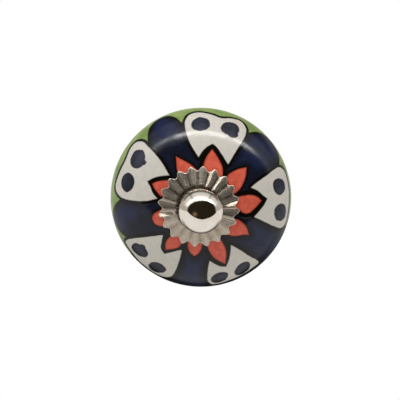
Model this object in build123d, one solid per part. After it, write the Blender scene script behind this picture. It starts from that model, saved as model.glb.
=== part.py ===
from build123d import *
import math
import os

# A hand-painted ceramic cabinet knob with its metal hardware, in millimetres.
# The knob's axis is Y. y = 0 is the face that meets the cabinet front: the knob
# stands out towards -Y, the rod runs through the cabinet front towards +Y, +Z is up.

# Glazed ceramic body: two half ellipses that meet at the widest circle
CERAMIC_RADIUS = 20.0
CERAMIC_FRONT_RISE = 12.3
CERAMIC_REAR_DEPTH = 11.5
CERAMIC_FRONT_LAND_RADIUS = 5.0
CERAMIC_REAR_LAND_RADIUS = 9.5
CERAMIC_REAR_ROUND = 1.2
CERAMIC_HOLE_CLEARANCE = 0.75
CERAMIC_HOLE_ROUND = 0.5

# Threaded rod, M4
ROD_RADIUS = 2.0
ROD_CHAMFER = 0.5
ROD_REACH = 35.0
THREAD_CLEARANCE = 0.05
PASS_CLEARANCE = 0.2

# Fluted flower rosette, pressed from thin sheet, with a raised hub; it sits loosely, off the axis
FLUTE_COUNT = 20
FLUTE_FIRST_ANGLE = 6.0
FLUTE_TIP_SHARE = 0.43
FLUTE_POINT_COUNT = 5
ROSETTE_TIP_RADIUS = 9.03
ROSETTE_NOTCH_DEPTH = 0.98
ROSETTE_CENTRE_RADIUS = 4.95
ROSETTE_CENTRE_WAVE = 0.28
ROSETTE_RISE = 1.7
ROSETTE_SHEET = 0.55
ROSETTE_SEAT_CLEARANCE = 0.05
ROSETTE_HOLE_CLEARANCE = 0.6
ROSETTE_SHIFT = 0.47
HUB_RADIUS = 4.35
HUB_HEIGHT = 0.4
HUB_ROUND = 0.2

# Polished ball, flattened in front, on a short neck, with a blind threaded hole
BALL_RADIUS = 4.9
BALL_EDGE_ROUND = 1.88
BALL_EDGE_ANGLE = 28.0
BALL_NECK_RADIUS = 3.2
BALL_NECK_LENGTH = 0.5
BALL_FRONT_WALL = 2.4
BALL_DRILL_ANGLE = 118.0
ROD_END_CLEARANCE = 0.4

# Turned rear base: a flange on the cabinet, a waist, a seat for the ceramic
BASE_LENGTH = 9.0
BASE_FLANGE_RADIUS = 9.0
BASE_FLANGE_THICKNESS = 1.2
BASE_FLANGE_ROUND = 0.4
BASE_FLANGE_LEDGE = 1.2
BASE_WAIST_DEPTH = 2.0
BASE_SEAT_RADIUS = 7.2
BASE_SEAT_THICKNESS = 0.9
BASE_SEAT_ROUND = 0.3

# Cabinet front that the knob clamps, with the washer and the nut behind it
PANEL_THICKNESS = 18.0
WASHER_RADIUS = 6.0
WASHER_THICKNESS = 1.0
WASHER_ROUND = 0.2
NUT_SIDES = 6
NUT_ACROSS_FLATS = 7.0
NUT_HEIGHT = 3.2
NUT_FACE_INSET = 0.2
NUT_CHAMFER_ANGLE = 30.0
NUT_HOLE_CHAMFER = 0.3

# Angles in degrees
QUARTER_TURN = 90.0
FULL_TURN = 360.0

# Radii and places along the axis, worked out from the sizes above
PASS_RADIUS = ROD_RADIUS + PASS_CLEARANCE
CERAMIC_HOLE_RADIUS = ROD_RADIUS + CERAMIC_HOLE_CLEARANCE
ROSETTE_NOTCH_RADIUS = ROSETTE_TIP_RADIUS - ROSETTE_NOTCH_DEPTH
ROSETTE_HOLE_RADIUS = ROD_RADIUS + ROSETTE_HOLE_CLEARANCE
THREAD_RADIUS = ROD_RADIUS + THREAD_CLEARANCE
CERAMIC_BACK_Y = -BASE_LENGTH
EQUATOR_Y = CERAMIC_BACK_Y - CERAMIC_REAR_DEPTH


def front_surface_y(radius):
    """Depth of the ceramic's front surface at a distance from the axis."""
    return EQUATOR_Y - CERAMIC_FRONT_RISE * math.sqrt(1 - (radius / CERAMIC_RADIUS) ** 2)


ROSETTE_SEAT_Y = front_surface_y(ROSETTE_NOTCH_RADIUS - ROSETTE_SHIFT) - ROSETTE_SEAT_CLEARANCE
ROSETTE_RIM_Y = ROSETTE_SEAT_Y - ROSETTE_SHEET
ROSETTE_FRONT_Y = ROSETTE_RIM_Y - ROSETTE_RISE
HUB_FRONT_Y = ROSETTE_FRONT_Y - HUB_HEIGHT
BALL_WIDEST_Y = HUB_FRONT_Y - BALL_NECK_LENGTH - math.sqrt(BALL_RADIUS**2 - BALL_NECK_RADIUS**2)
BALL_EDGE_INSET = BALL_RADIUS - BALL_EDGE_ROUND
BALL_CAP_RADIUS = BALL_EDGE_INSET / math.cos(math.radians(BALL_EDGE_ANGLE)) + BALL_EDGE_ROUND
BALL_CAP_Y = BALL_WIDEST_Y + BALL_EDGE_INSET * math.tan(math.radians(BALL_EDGE_ANGLE))
BALL_NOSE_Y = BALL_CAP_Y - BALL_CAP_RADIUS
BALL_DRILL_TIP_Y = BALL_NOSE_Y + BALL_FRONT_WALL
BALL_HOLE_END_Y = BALL_DRILL_TIP_Y + THREAD_RADIUS / math.tan(math.radians(BALL_DRILL_ANGLE / 2))
NUT_FRONT_Y = PANEL_THICKNESS + WASHER_THICKNESS


def across(y):
    """Plane square to the knob's axis, facing the back."""
    return Plane(origin=(0, y, 0), x_dir=(1, 0, 0), z_dir=(0, 1, 0))


def turned(*edges):
    """Solid of revolution about the knob's axis, from a closed half profile."""
    return revolve(make_face(Wire(edges)), axis=Axis.Y)


def circles(part, radius):
    """The round edges of a part that have the given radius."""
    rounds = part.edges().filter_by(GeomType.CIRCLE)
    return rounds.filter_by(lambda edge: math.isclose(edge.radius, radius, abs_tol=1e-6))


def half_ellipse(rise, end_radius, front):
    """Half profile of the ceramic, from the widest circle to a smaller radius."""
    angle = math.degrees(math.acos(end_radius / CERAMIC_RADIUS))
    sweep = -angle if front else angle
    return EllipticalCenterArc((0, EQUATOR_Y), CERAMIC_RADIUS, rise, 0, arc_size=sweep)


def make_ceramic_body():
    land_share = CERAMIC_REAR_LAND_RADIUS / CERAMIC_RADIUS
    rear_rise = CERAMIC_REAR_DEPTH / math.sqrt(1 - land_share**2)
    front = half_ellipse(CERAMIC_FRONT_RISE, CERAMIC_FRONT_LAND_RADIUS, front=True)
    rear = half_ellipse(rear_rise, CERAMIC_REAR_LAND_RADIUS, front=False)
    front_hole = (CERAMIC_HOLE_RADIUS, front_surface_y(CERAMIC_FRONT_LAND_RADIUS))
    rear_hole = (CERAMIC_HOLE_RADIUS, CERAMIC_BACK_Y)
    body = turned(
        front,
        rear,
        Line(front @ 1, front_hole),
        Line(front_hole, rear_hole),
        Line(rear_hole, rear @ 1),
    )
    body = fillet(circles(body, CERAMIC_REAR_LAND_RADIUS), CERAMIC_REAR_ROUND)
    return fillet(circles(body, CERAMIC_HOLE_RADIUS), CERAMIC_HOLE_ROUND)


def around(radius, angle, y):
    """Point at a clock angle about the axis, seen from the front, from the top."""
    turn = math.radians(angle)
    return Vector(radius * math.sin(turn), y, radius * math.cos(turn))


def fluted_outline(tip_radius, notch_radius, y):
    """Closed wave about the axis, with one edge for each flute, from notch to notch."""
    middle = (tip_radius + notch_radius) / 2
    swing = (tip_radius - notch_radius) / 2
    pitch = FULL_TURN / FLUTE_COUNT
    flutes = []
    for flute in range(FLUTE_COUNT):
        start = FLUTE_FIRST_ANGLE + (flute - FLUTE_TIP_SHARE) * pitch
        points = []
        for point in range(FLUTE_POINT_COUNT):
            wave = 2 * point / (FLUTE_POINT_COUNT - 1)
            share = FLUTE_TIP_SHARE * min(wave, 1) + (1 - FLUTE_TIP_SHARE) * max(wave - 1, 0)
            radius = middle - swing * math.cos(math.pi * wave)
            points.append(around(radius, start + share * pitch, y))
        ends = [around(1, angle + QUARTER_TURN, 0) for angle in (start, start + pitch)]
        flutes.append(Spline(*points, tangents=ends))
    return Wire(flutes)


def make_flower_rosette():
    rim = fluted_outline(ROSETTE_TIP_RADIUS, ROSETTE_NOTCH_RADIUS, ROSETTE_RIM_Y)
    centre = fluted_outline(
        ROSETTE_CENTRE_RADIUS + ROSETTE_CENTRE_WAVE,
        ROSETTE_CENTRE_RADIUS - ROSETTE_CENTRE_WAVE,
        ROSETTE_FRONT_Y,
    )
    sheet = (0, ROSETTE_SHEET, 0)
    cone = Solid.make_loft([rim, centre], ruled=True)
    flutes = [face for face in cone.faces() if face.geom_type != GeomType.PLANE]
    pleats = [Solid.extrude(face, sheet) for face in flutes]
    middle = Solid.extrude(Face(centre), sheet)
    hub = extrude(across(HUB_FRONT_Y) * Circle(HUB_RADIUS), amount=HUB_HEIGHT)
    hub = fillet(circles(hub, HUB_RADIUS).sort_by(Axis.Y)[0], HUB_ROUND)
    rosette = Part() + [middle, hub, *pleats]
    hole = Circle(ROSETTE_HOLE_RADIUS)
    rod_hole = extrude(across(HUB_FRONT_Y) * hole, amount=HUB_HEIGHT + ROSETTE_SHEET)
    return Pos(-ROSETTE_SHIFT, 0, 0) * (rosette - rod_hole)


def make_ball_cap():
    neck_angle = math.degrees(math.acos(BALL_NECK_RADIUS / BALL_RADIUS))
    to_nose = BALL_EDGE_ANGLE - QUARTER_TURN
    rear = CenterArc((0, BALL_WIDEST_Y), BALL_RADIUS, neck_angle, -neck_angle)
    edge = CenterArc((BALL_EDGE_INSET, BALL_WIDEST_Y), BALL_EDGE_ROUND, 0, -BALL_EDGE_ANGLE)
    cap = CenterArc((0, BALL_CAP_Y), BALL_CAP_RADIUS, -BALL_EDGE_ANGLE, to_nose)
    outline = Polyline(
        cap @ 1,
        (0, BALL_DRILL_TIP_Y),
        (THREAD_RADIUS, BALL_HOLE_END_Y),
        (THREAD_RADIUS, HUB_FRONT_Y),
        (BALL_NECK_RADIUS, HUB_FRONT_Y),
        rear @ 0,
    )
    return turned(rear, edge, cap, *outline.edges())


def make_threaded_rod():
    start = BALL_HOLE_END_Y + ROD_END_CLEARANCE
    tip_radius = ROD_RADIUS - ROD_CHAMFER
    outline = Polyline(
        (0, start),
        (tip_radius, start),
        (ROD_RADIUS, start + ROD_CHAMFER),
        (ROD_RADIUS, ROD_REACH - ROD_CHAMFER),
        (tip_radius, ROD_REACH),
        (0, ROD_REACH),
        close=True,
    )
    return turned(*outline.edges())


def make_rear_base():
    flange_y = -BASE_FLANGE_THICKNESS
    seat_y = BASE_SEAT_THICKNESS - BASE_LENGTH
    cove = ThreePointArc(
        (BASE_FLANGE_RADIUS - BASE_FLANGE_LEDGE, flange_y),
        (BASE_SEAT_RADIUS - BASE_WAIST_DEPTH, (flange_y + seat_y) / 2),
        (BASE_SEAT_RADIUS, seat_y),
    )
    outline = Polyline(
        cove @ 1,
        (BASE_SEAT_RADIUS, -BASE_LENGTH),
        (PASS_RADIUS, -BASE_LENGTH),
        (PASS_RADIUS, 0),
        (BASE_FLANGE_RADIUS, 0),
        (BASE_FLANGE_RADIUS, flange_y),
        cove @ 0,
    )
    base = turned(cove, *outline.edges())
    flange_front = circles(base, BASE_FLANGE_RADIUS).sort_by(Axis.Y)[0]
    base = fillet(flange_front, BASE_FLANGE_ROUND)
    seat_edge = circles(base, BASE_SEAT_RADIUS).sort_by(Axis.Y)[0]
    return fillet(seat_edge, BASE_SEAT_ROUND)


def make_flat_washer():
    ring = Circle(WASHER_RADIUS) - Circle(PASS_RADIUS)
    washer = extrude(across(PANEL_THICKNESS) * ring, amount=WASHER_THICKNESS)
    punched_edge = circles(washer, WASHER_RADIUS).sort_by(Axis.Y)[-1]
    return fillet(punched_edge, WASHER_ROUND)


def make_hex_nut():
    corner_radius = NUT_ACROSS_FLATS / 2 / math.cos(math.pi / NUT_SIDES)
    face_radius = NUT_ACROSS_FLATS / 2 - NUT_FACE_INSET
    slope = (corner_radius - face_radius) * math.tan(math.radians(NUT_CHAMFER_ANGLE))
    back_y = NUT_FRONT_Y + NUT_HEIGHT
    hexagon = RegularPolygon(corner_radius, side_count=NUT_SIDES)
    prism = extrude(across(NUT_FRONT_Y) * (hexagon - Circle(THREAD_RADIUS)), amount=NUT_HEIGHT)
    corners = Polyline(
        (0, NUT_FRONT_Y),
        (face_radius, NUT_FRONT_Y),
        (corner_radius, NUT_FRONT_Y + slope),
        (corner_radius, back_y - slope),
        (face_radius, back_y),
        (0, back_y),
        close=True,
    )
    nut = prism & turned(*corners.edges())
    return chamfer(circles(nut, THREAD_RADIUS), NUT_HOLE_CHAMFER)


os.makedirs("parts", exist_ok=True)
export_step(make_ceramic_body(), "parts/ceramic_body.step")
export_step(make_flower_rosette(), "parts/flower_rosette.step")
export_step(make_ball_cap(), "parts/ball_cap.step")
export_step(make_threaded_rod(), "parts/threaded_rod.step")
export_step(make_rear_base(), "parts/rear_base.step")
export_step(make_flat_washer(), "parts/flat_washer.step")
export_step(make_hex_nut(), "parts/hex_nut.step")
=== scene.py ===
import math

import bmesh
import bpy
import numpy as np
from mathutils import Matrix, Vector


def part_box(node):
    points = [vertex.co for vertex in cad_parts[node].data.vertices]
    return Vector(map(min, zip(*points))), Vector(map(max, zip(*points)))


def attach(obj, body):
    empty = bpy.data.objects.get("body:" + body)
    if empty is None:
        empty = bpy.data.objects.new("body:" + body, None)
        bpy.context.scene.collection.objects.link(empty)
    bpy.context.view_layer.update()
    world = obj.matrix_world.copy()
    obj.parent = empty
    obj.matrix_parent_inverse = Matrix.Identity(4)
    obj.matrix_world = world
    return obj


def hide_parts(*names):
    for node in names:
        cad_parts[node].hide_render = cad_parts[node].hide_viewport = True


# A hand-painted ceramic cabinet knob with a fluted rosette, a polished ball and its rod.
# The knob's axis is Y: the flower faces -Y, the rod runs towards +Y and +Z is up.
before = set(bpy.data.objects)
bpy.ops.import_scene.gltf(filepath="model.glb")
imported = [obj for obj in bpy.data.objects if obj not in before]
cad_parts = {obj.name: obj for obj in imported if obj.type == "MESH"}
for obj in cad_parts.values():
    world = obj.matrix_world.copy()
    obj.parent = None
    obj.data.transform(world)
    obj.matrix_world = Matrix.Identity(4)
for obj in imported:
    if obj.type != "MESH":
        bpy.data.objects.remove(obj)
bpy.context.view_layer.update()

MM = 0.001
QUARTER = math.pi / 2

# All pieces: steps of a rounded edge, and the angle above which an edge is shaded as sharp
ROUND_STEPS = 6
SHARP_ANGLE = math.radians(40)

# Glazed ceramic body: two half ellipses that meet at the widest circle
CERAMIC_LOW, CERAMIC_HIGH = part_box("ceramic_body")
CERAMIC_RADIUS = CERAMIC_HIGH.x
CERAMIC_FRONT_LAND_RADIUS = 5.0 * MM
CERAMIC_REAR_LAND_RADIUS = 9.5 * MM
CERAMIC_REAR_ROUND = 1.2 * MM
CERAMIC_REAR_DEPTH = 11.5 * MM
CERAMIC_HOLE_RADIUS = 2.75 * MM
CERAMIC_HOLE_ROUND = 0.5 * MM
CERAMIC_SEGMENTS = 720
CERAMIC_FRONT_RINGS = 86
CERAMIC_REAR_RINGS = 34
ARC_SAMPLES = 2001
CORNER_HALVINGS = 60

# Fluted flower rosette with its raised hub
ROSETTE_LOW, ROSETTE_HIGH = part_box("flower_rosette")
ROSETTE_CENTRE_X = (ROSETTE_LOW.x + ROSETTE_HIGH.x) / 2
ROSETTE_SHEET = 0.55 * MM
ROSETTE_TIP_RADIUS = 9.03 * MM
ROSETTE_NOTCH_RADIUS = 8.05 * MM
ROSETTE_CENTRE_RADIUS = 4.95 * MM
ROSETTE_CENTRE_WAVE = 0.28 * MM
ROSETTE_HOLE_RADIUS = 2.6 * MM
HUB_RADIUS = 4.35 * MM
HUB_HEIGHT = 0.4 * MM
HUB_ROUND = 0.2 * MM
FLUTE_COUNT = 20
FLUTE_FIRST_ANGLE = math.radians(6)
FLUTE_TIP_SHARE = 0.43
FLUTE_STEPS = 36
ROSETTE_RINGS = 30
RIM_STEPS = 12

# The pressed sheet is uneven: how much of the full depth each flute has, clockwise from the first,
# how flat the flutes' sides are, and how far their ridges lean upwards on the left and the right
FLUTE_DEPTHS = (1.16, 1.04, 0.82, 0.52, 0.25, -0.5, -0.5, 0.2, 0.45, 0.6,
                0.6, 0.6, 0.5, 0.3, 0.1, -0.55, -0.3, 0.24, 0.32, 0.45)
FLANK_FLATNESS = 0.7
FLANK_LEAN = 0.35

# Two folds near the rim: the clock angles of the crease and of the far side, and the height; then
# the steep side's width as a share of the long side's, and where along the flutes a fold starts
FOLDS = ((87.5, 81.5, 0.6 * MM), (255.0, 260.5, 0.8 * MM))
FOLD_EDGE = 0.2
FOLD_START = 0.15

# Polished ball, flattened in front, on a short neck
BALL_LOW, BALL_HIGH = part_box("ball_cap")
BALL_RADIUS = BALL_HIGH.x
BALL_EDGE_ROUND = 1.88 * MM
BALL_EDGE_ANGLE = math.radians(28)
BALL_NECK_RADIUS = 3.2 * MM
BALL_NECK_LENGTH = 0.5 * MM
BALL_HOLE_RADIUS = 2.05 * MM
BALL_WALL = 2.4 * MM
BALL_DRILL_SLOPE = math.tan(math.radians(59))
BALL_RINGS = 72
BALL_EDGE_STEPS = 24
BALL_REAR_STEPS = 20
BALL_SEGMENTS = 192

# Threaded rod, nut, washer and rear base
ROD_LOW, ROD_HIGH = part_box("threaded_rod")
ROD_RADIUS = ROD_HIGH.x
ROD_CHAMFER = 0.5 * MM
THREAD_PITCH = 0.7 * MM
THREAD_DEPTH = 0.43 * MM
THREAD_CREST = 0.125
THREAD_STEPS = 10
ROD_SEGMENTS = 40
NUT_LOW, NUT_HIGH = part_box("hex_nut")
NUT_FLAT_RADIUS = 3.5 * MM
NUT_FACE_RADIUS = 3.3 * MM
NUT_CHAMFER_SLOPE = math.tan(math.radians(30))
NUT_HOLE_RADIUS = 2.05 * MM
NUT_HOLE_CHAMFER = 0.3 * MM
NUT_SIDES = 6
NUT_SEGMENTS = 240
NUT_ROWS = 40
WASHER_LOW, WASHER_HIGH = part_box("flat_washer")
WASHER_RADIUS = WASHER_HIGH.x
WASHER_ROUND = 0.2 * MM
PASS_RADIUS = 2.2 * MM
BASE_LOW, BASE_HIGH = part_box("rear_base")
BASE_FLANGE_RADIUS = BASE_HIGH.x
BASE_FLANGE_THICKNESS = 1.2 * MM
BASE_FLANGE_ROUND = 0.4 * MM
BASE_LEDGE_RADIUS = 7.8 * MM
BASE_WAIST_RADIUS = 5.2 * MM
BASE_SEAT_RADIUS = 7.2 * MM
BASE_SEAT_THICKNESS = 0.9 * MM
BASE_SEAT_ROUND = 0.3 * MM
COVE_STEPS = 28
TURNED_SEGMENTS = 160

# The photograph's view: 400 pixels wide, the knob's widest circle centred on one pixel
PHOTO_SIZE = 400
PHOTO_SCALE = 4.515 / MM
PHOTO_CENTRE = (200.9, 197.4)
CAMERA_ELEVATION = math.radians(9.8)
CAMERA_UP = (0, math.sin(CAMERA_ELEVATION), math.cos(CAMERA_ELEVATION))
CAMERA_INTO = (0, math.cos(CAMERA_ELEVATION), -math.sin(CAMERA_ELEVATION))
CAMERA_DISTANCE = 2.0
SENSOR_WIDTH = 36.0

# Places along the axis and heights of the forms that follow from the sizes
EQUATOR_Y = CERAMIC_HIGH.y - CERAMIC_REAR_DEPTH
FRONT_LAND_SHARE = CERAMIC_FRONT_LAND_RADIUS / CERAMIC_RADIUS
REAR_LAND_SHARE = CERAMIC_REAR_LAND_RADIUS / CERAMIC_RADIUS
FRONT_RISE = (EQUATOR_Y - CERAMIC_LOW.y) / math.sqrt(1 - FRONT_LAND_SHARE**2)
REAR_RISE = CERAMIC_REAR_DEPTH / math.sqrt(1 - REAR_LAND_SHARE**2)
ROSETTE_FRONT_Y = ROSETTE_LOW.y + HUB_HEIGHT
ROSETTE_RISE = ROSETTE_HIGH.y - ROSETTE_SHEET - ROSETTE_FRONT_Y


# Mesh helpers

def add_mesh(name, points, faces):
    """New object from points and faces, with its normals outwards and smooth shading."""
    mesh = bpy.data.meshes.new(name)
    mesh.from_pydata([tuple(point) for point in points], [], faces)
    work = bmesh.new()
    work.from_mesh(mesh)
    bmesh.ops.recalc_face_normals(work, faces=work.faces)
    work.to_mesh(mesh)
    work.free()
    mesh.shade_smooth()
    mesh.set_sharp_from_angle(angle=SHARP_ANGLE)
    obj = bpy.data.objects.new(name, mesh)
    bpy.context.scene.collection.objects.link(obj)
    return obj


def whole_turn(steps):
    """Angles of equal steps round one turn."""
    return np.linspace(0, math.tau, steps, endpoint=False)


def around(radius, clock, y):
    """Points at clock angles about the axis, from the top, clockwise seen from the front."""
    level = np.broadcast_to(y, np.shape(clock))
    return np.stack([radius * np.sin(clock), level, radius * np.cos(clock)], -1)


def ring_faces(rings, segments, closed):
    """Quads between neighbouring rings of a grid of points; closed joins the last ring to the first."""
    faces = []
    for ring in range(rings if closed else rings - 1):
        here = ring * segments
        there = (ring + 1) % rings * segments
        for i in range(segments):
            j = (i + 1) % segments
            faces.append((here + i, here + j, there + j, there + i))
    return faces


def cap_faces(ring, segments, pole):
    """Triangles between one ring and a point on the axis."""
    here = ring * segments
    return [(here + i, here + (i + 1) % segments, pole) for i in range(segments)]


def turned(name, profile, segments):
    """Solid of revolution from a profile of (radius, y); an end at radius 0 closes on the axis."""
    clock = whole_turn(segments)
    poles = [(0.0, y, 0.0) for radius, y in (profile[0], profile[-1]) if radius == 0]
    rings = [(radius, y) for radius, y in profile if radius > 0]
    points = np.concatenate([around(radius, clock, y) for radius, y in rings])
    faces = ring_faces(len(rings), segments, closed=not poles)
    if poles:
        faces += cap_faces(0, segments, len(points))
        faces += cap_faces(len(rings) - 1, segments, len(points) + len(poles) - 1)
        points = np.concatenate([points, np.array(poles)])
    return add_mesh(name, points, faces)


def arc(centre, radius, start, end, steps):
    """Points of an arc in the (radius, y) plane, with angles from the outward direction."""
    angles = np.linspace(start, end, steps + 1)
    return [(centre[0] + radius * math.cos(a), centre[1] + radius * math.sin(a)) for a in angles]


def store(obj, name, values):
    """Keeps one number for each point of a mesh, for its material to read."""
    layer = obj.data.attributes.new(name, "FLOAT", "POINT")
    layer.data.foreach_set("value", np.asarray(values, np.float32))


def dress(obj, material, slot, *nodes):
    """Gives a new piece its material and its place in the part."""
    obj.data.materials.append(material)
    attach(obj, "root")
    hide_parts(*nodes)


# The ceramic's surface: arc lengths from the front's middle along the two half ellipses

def arc_table(rise):
    """Angles from the axis and arc lengths along a half ellipse, from its pole to the widest circle."""
    angles = np.linspace(0, QUARTER, ARC_SAMPLES)
    speed = np.hypot(CERAMIC_RADIUS * np.cos(angles), rise * np.sin(angles))
    steps = (speed[1:] + speed[:-1]) / 2 * np.diff(angles)
    return angles, np.concatenate([[0], np.cumsum(steps)])


FRONT_ANGLES, FRONT_LENGTHS = arc_table(FRONT_RISE)
REAR_ANGLES, REAR_LENGTHS = arc_table(REAR_RISE)
FRONT_LENGTH = FRONT_LENGTHS[-1]
REAR_LENGTH = REAR_LENGTHS[-1]


def surface_reach(x, y, z):
    """Arc length from the front's middle to a point on the ceramic."""
    angle = np.arcsin(np.clip(np.hypot(x, z) / CERAMIC_RADIUS, 0, 1))
    front = np.interp(angle, FRONT_ANGLES, FRONT_LENGTHS)
    rear = FRONT_LENGTH + REAR_LENGTH - np.interp(angle, REAR_ANGLES, REAR_LENGTHS)
    return np.where(y <= EQUATOR_Y, front, rear)


def flat_map(clock, reach):
    """The painted surface laid flat about the front's middle, with distances kept along each spoke."""
    return np.stack([reach * np.sin(clock), reach * np.cos(clock)], -1)


def ray_depth(base, into, rise):
    """Distance along view rays to a half ellipse, or to the nearest pass where a ray misses."""
    weight = np.array([1 / CERAMIC_RADIUS, 1 / rise, 1 / CERAMIC_RADIUS])
    a = np.sum((into * weight) ** 2)
    b = (base * weight) @ (into * weight)
    c = np.sum((base * weight) ** 2, axis=1) - 1
    return (-b - np.sqrt(np.maximum(b * b - a * c, 0))) / a


def from_photo(pixels):
    """Photo pixels carried along the view onto the ceramic, as points of the flat map."""
    pixels = np.asarray(pixels, float)
    across = (pixels[:, 0] - PHOTO_CENTRE[0]) / PHOTO_SCALE
    height = (PHOTO_CENTRE[1] - pixels[:, 1]) / PHOTO_SCALE
    into = np.array(CAMERA_INTO)
    base = across[:, None] * np.array([1, 0, 0]) + height[:, None] * np.array(CAMERA_UP)
    front = base + ray_depth(base, into, FRONT_RISE)[:, None] * into
    rear = base + ray_depth(base, into, REAR_RISE)[:, None] * into
    point = np.where(front[:, 1:2] <= 0, front, rear)
    reach = surface_reach(point[:, 0], point[:, 1] + EQUATOR_Y, point[:, 2])
    return flat_map(np.arctan2(point[:, 0], point[:, 2]), reach)


# The painted pattern, in pixels of the photo. A pad is three strokes: round the outside from
# one inner tip to the other, then the two sides of the notch that a petal's tip fills.
PADS = (
    (
        ((198.5, 157.5), (189.5, 142), (185.5, 129), (185.5, 121), (190, 115), (198, 112.8),
         (210, 114.5), (221, 118.4), (231, 118.8), (240, 121.2), (245.5, 128), (244.5, 137),
         (236, 151), (228, 164.5)),
        ((228, 164.5), (222, 155), (217, 147.5), (212.5, 144)),
        ((212.5, 144), (207, 147), (203, 150.5), (198.5, 157.5)),
    ),
    (
        ((251, 187.5), (258, 181.5), (268, 174.5), (275, 169), (280, 167.5), (285, 173),
         (288.5, 190), (288, 209), (285.5, 222), (281.5, 227.5), (275, 226.5), (260, 219.5),
         (254, 217)),
        ((254, 217), (260.2, 209.8), (264.8, 203.6), (267.4, 198.4)),
        ((267.4, 198.4), (262.4, 195), (257.4, 190.6), (251, 187.5)),
    ),
    (
        ((231, 245), (240, 250), (250, 256.5), (257, 260.2), (258, 263.3), (252, 268),
         (243, 274), (232, 279), (220, 283), (212, 284), (208, 280.5), (207.5, 274),
         (208.3, 267), (209.5, 260.5)),
        ((209.5, 260.5), (215, 264), (220, 266.2), (226, 266.5)),
        ((226, 266.5), (228.8, 260), (230.2, 253), (231, 245)),
    ),
    (
        ((182, 250), (179, 261), (175.5, 270), (171.5, 276), (165, 276.8), (157, 274),
         (148, 268), (140, 261.5), (132, 252), (126.3, 243.5), (126.5, 240.3), (133, 238.5),
         (150, 236.5), (163, 235)),
        ((163, 235), (161.7, 242), (161, 248), (164.5, 253.8)),
        ((164.5, 253.8), (172, 252), (178, 250.3), (182, 250)),
    ),
    (
        ((157.5, 198.5), (145, 201), (130, 200), (120.5, 196.5), (116, 189), (116.8, 181),
         (121, 170), (126, 160), (130.5, 149), (136, 142.8), (143, 142), (149, 147.5),
         (160, 160), (169.5, 175.5)),
        ((169.5, 175.5), (162, 176), (155, 177.5), (147.3, 181.2)),
        ((147.3, 181.2), (150.5, 187), (153, 193), (157.5, 198.5)),
    ),
)

# Petals: one edge from the rosette to the tip, then the other edge back. Those of the first
# group point into the pads and have a broad dark outline; the others lie on the blue.
PAD_PETALS = (
    (((203, 172), (203.6, 165), (206.3, 157.5), (212, 149.2)),
     ((212, 149.2), (218.5, 159), (222.3, 168), (222.5, 178))),
    (((232, 198), (240, 196.2), (250, 194.8), (256.5, 196.6), (261.4, 200.6)),
     ((261.4, 200.6), (256, 207), (249.6, 212.6), (244.5, 213.3), (239.5, 210.5), (232, 205))),
    (((206, 240), (208.1, 248.5), (214, 257.5), (225, 263.8)),
     ((225, 263.8), (226.3, 256), (225.2, 248), (220.5, 239), (214, 232))),
    (((178, 230), (169.4, 237.3), (165.8, 243), (165.6, 249.5)),
     ((165.6, 249.5), (173, 248.8), (179.8, 246.2), (184, 238))),
    (((172, 181), (166, 180.4), (158, 181.4), (152.2, 183.8)),
     ((152.2, 183.8), (155.6, 190), (161, 196), (168, 199))),
)
BLUE_PETALS = (
    (((180, 180), (177.2, 170), (176, 156.5)),
     ((176, 156.5), (183.5, 160.5), (191, 165), (198, 171))),
    (((226, 178), (229.2, 174), (236.9, 169.6), (246.3, 167.6)),
     ((246.3, 167.6), (245.3, 177), (242, 185.5), (238.5, 190.3), (232, 196))),
    (((230, 218.5), (238, 219.4), (243.8, 224), (247, 228.8), (248.8, 235)),
     ((248.8, 235), (244, 234.6), (238, 235.6), (231.5, 235.5), (222, 233))),
    (((187.5, 240), (188.1, 247.3), (190.6, 252.6), (194.5, 256.2)),
     ((194.5, 256.2), (199.4, 252.2), (201.9, 246.6), (202, 240))),
    (((168, 207), (160.6, 209.8), (154.4, 213.6), (152.2, 218)),
     ((152.2, 218), (154.4, 223), (158, 225.3), (163, 226), (170, 224))),
)

# Dots on the pads, two each, some with a small tail: middle, half sizes and tilt in degrees
DOTS = (
    ((200.9, 124.6), (9.2, 7.2), -4), ((230, 129), (9.2, 6.6), 12), ((232.4, 134.8), (5.6, 3.8), 20),
    ((278.8, 186.4), (6.4, 8.2), 0), ((280, 212.2), (5.8, 9.0), 12),
    ((242, 268.5), (9.4, 5.0), -38), ((219.3, 277.4), (9.2, 4.6), -18),
    ((140, 250), (9.6, 5.2), 38), ((141.8, 247), (4.0, 3.4), 20), ((157, 267.4), (9.2, 5.0), 22),
    ((138.2, 159.2), (7.4, 10.2), 24), ((144, 162.4), (3.0, 3.2), 0), ((128, 182.4), (6.6, 9.6), 8),
)

# Blue lobes between the pads and under the two lower pads: the middle's clock angle, the half width
# as an angle, and the reach from the front's middle
LOBES = (
    (333, 15, 25.0 * MM),
    (51, 19.5, 25.2 * MM),
    (122.5, 18, 28.0 * MM),
    (150, 24, 28.0 * MM),
    (187, 19, 29.0 * MM),
    (218, 16, 28.0 * MM),
    (257, 18, 23.6 * MM),
)

# How far a lobe's end falls back at its half width, how far past that its sides lie, the reach of
# its root, and the radius of the blue that joins all lobes
LOBE_DROP = 7.0 * MM
LOBE_SPREAD = 1.25
LOBE_ROOT = 6.0 * MM
BLUE_MIDDLE = 14.5 * MM

# Widths of the painted lines
PAD_LINE = 0.75 * MM
LOBE_LINE = 0.6 * MM
PAD_PETAL_LINE = 1.0 * MM
BLUE_PETAL_LINE = 0.45 * MM

# The farthest distance that is told from an outline, and the steps of the curves
FAR = 9.0 * MM
CURVE_STEPS = 6
DOT_STEPS = 28
LOBE_STEPS = 33


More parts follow.
